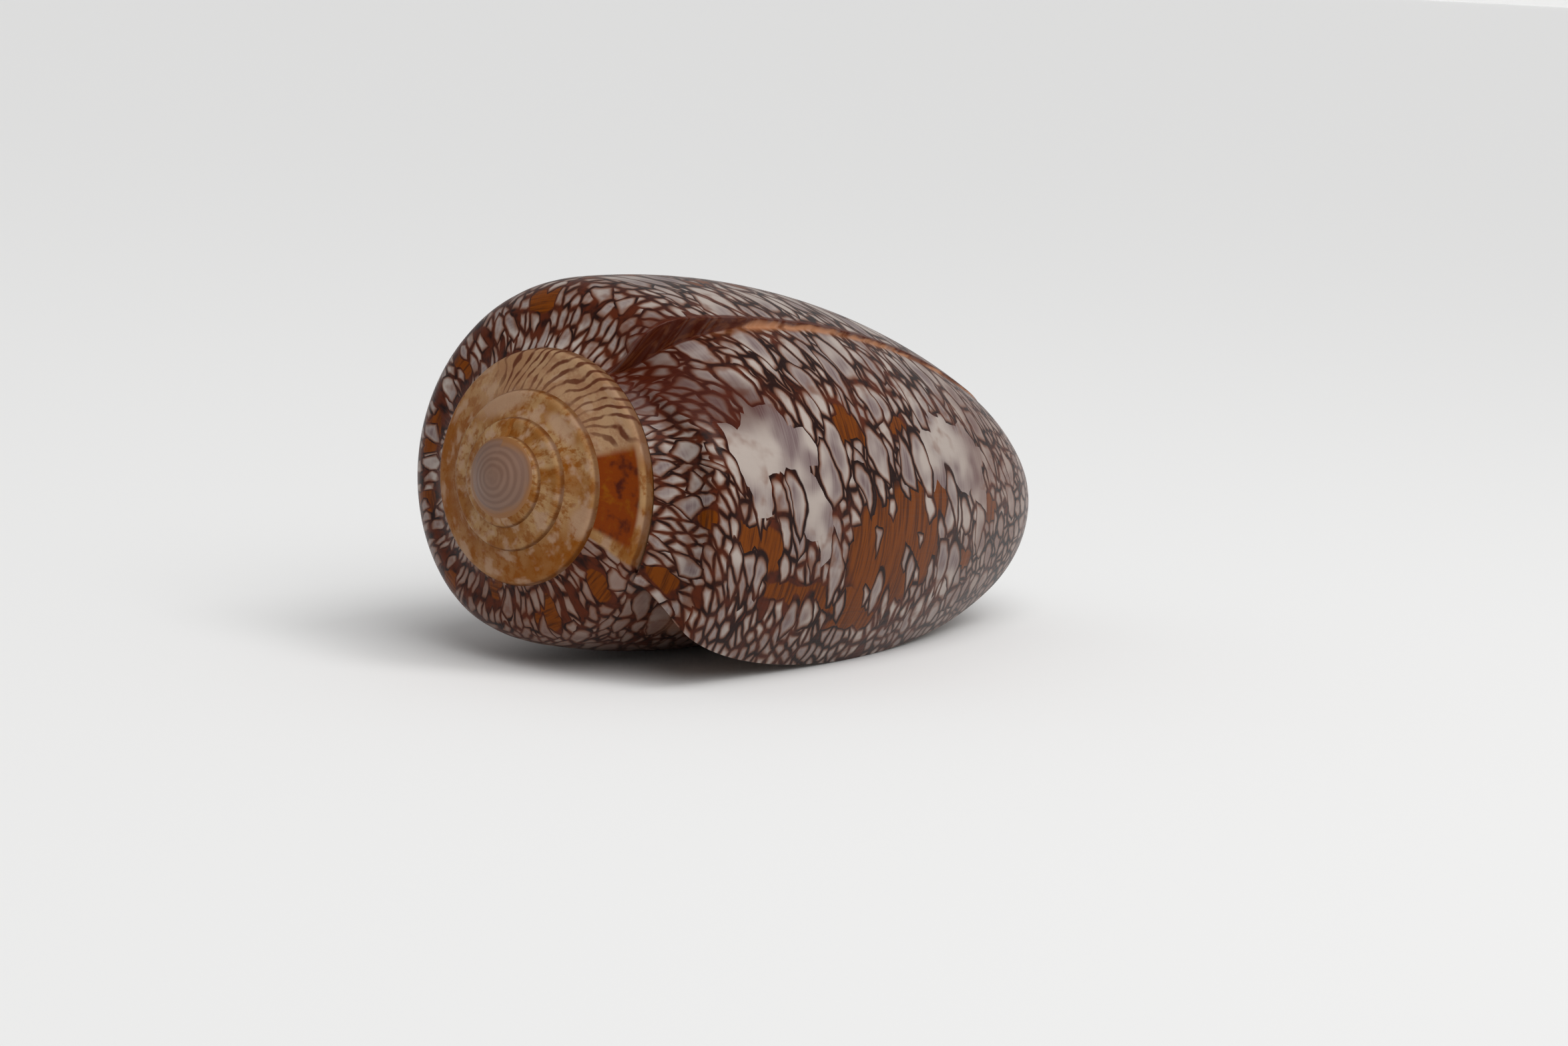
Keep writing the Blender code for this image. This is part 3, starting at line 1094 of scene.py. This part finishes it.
sight = Vector((-math.sin(AZIMUTH), math.cos(AZIMUTH), -math.tan(ELEVATION))).normalized()
camera_data = bpy.data.cameras.new("camera")
camera_data.sensor_width = 36
camera_data.lens = camera_data.sensor_width * FOCAL_PIXELS / PICTURE[0]
camera_data.clip_start = 0.01
camera = bpy.data.objects.new("camera", camera_data)
bpy.context.scene.collection.objects.link(camera)
camera.location = Vector(apex) - APEX_DISTANCE * sight
ahead = Vector((0, 0, -1))
to_apex = Vector((APEX_PIXEL[0] - PICTURE[0] / 2, PICTURE[1] / 2 - APEX_PIXEL[1], -FOCAL_PIXELS))
towards = sight.to_track_quat("-Z", "Y") @ Quaternion(ahead, -ROLL)
camera.rotation_mode = "QUATERNION"
camera.rotation_quaternion = towards @ to_apex.rotation_difference(ahead)
bpy.context.scene.camera = camera
print("camera at, m:", np.round(camera.location, 3), "lens, mm:", round(camera_data.lens, 1))

# %% [markdown]
# ## Floor, backdrop and light
# The shell lies on a plain pale floor. A wide soft light from above and behind the camera gives the soft
# shadows of a studio, a small window over the shell adds a faint shine, and the white room lights the rest.

# %% Floor
FLOOR_SIZE = 60
FLOOR_GREY = (0.84, 0.84, 0.835, 1)
FLOOR_ROUGHNESS = 0.9

bpy.ops.object.select_all(action="DESELECT")
bpy.ops.mesh.primitive_plane_add(size=FLOOR_SIZE, location=(0, 0, 0))
floor = bpy.context.object
floor.name = "floor"
floor_material = bpy.data.materials.new("floor")
floor_material.use_nodes = True
floor_shader = floor_material.node_tree.nodes["Principled BSDF"]
floor_shader.inputs["Base Color"].default_value = FLOOR_GREY
floor_shader.inputs["Roughness"].default_value = FLOOR_ROUGHNESS
floor.data.materials.append(floor_material)
floor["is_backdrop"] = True
print("floor:", FLOOR_SIZE, "m wide")

# %% A low backdrop, so that no horizon shows in the picture's corner
BACKDROP_DISTANCE = 28
BACKDROP_SIZE = (60, 2.4, 1)

level_sight = Vector((sight.x, sight.y, 0)).normalized()
bpy.ops.object.select_all(action="DESELECT")
bpy.ops.mesh.primitive_plane_add(size=1, location=BACKDROP_DISTANCE * level_sight)
backdrop = bpy.context.object
backdrop.name = "backdrop"
backdrop.scale = BACKDROP_SIZE
backdrop.rotation_mode = "QUATERNION"
backdrop.rotation_quaternion = (-level_sight).to_track_quat("Z", "Y")
backdrop.data.materials.append(floor_material)
backdrop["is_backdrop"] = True
print("backdrop:", BACKDROP_DISTANCE, "m behind the shell")

# %% Light
ROOM_LIGHT = 0.42
SKY_FROM = Vector((-0.20, -0.45, 0.60))
SKY_POWER = 1.9
SKY_WIDTH = math.radians(60)
WINDOW_FROM = Vector((0.05, -0.30, 0.45))
WINDOW_POWER = 0.5
WINDOW_SIZE = 0.20
LIT_POINT = Vector((0, 0, 0.02))

world = bpy.data.worlds.new("studio")
world.use_nodes = True
room = world.node_tree.nodes["Background"]
room.inputs["Color"].default_value = (1, 1, 1, 1)
room.inputs["Strength"].default_value = ROOM_LIGHT
bpy.context.scene.world = world


def soft_lamp(name, kind, place_at, power):
    """A lamp of this kind that shines from place_at to the shell."""
    light = bpy.data.lights.new(name, kind)
    light.energy = power
    lamp = bpy.data.objects.new(name, light)
    bpy.context.scene.collection.objects.link(lamp)
    lamp.location = place_at
    lamp.rotation_mode = "QUATERNION"
    lamp.rotation_quaternion = (LIT_POINT - lamp.location).to_track_quat("-Z", "Y")
    return light


soft_lamp("sky panel", "SUN", SKY_FROM, SKY_POWER).angle = SKY_WIDTH
soft_lamp("window", "AREA", WINDOW_FROM, WINDOW_POWER).size = WINDOW_SIZE
bpy.context.scene.view_settings.view_transform = "Standard"
print("lamps:", [lamp.name for lamp in bpy.data.lights])

# %% [markdown]
# ## The last sizes
# The dressed shell has to stay inside the solid's box. Both boxes are written down.

# %% Sizes
low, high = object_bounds()
print("box, mm:", [round(1000 * (h - l), 2) for l, h in zip(low, high)])
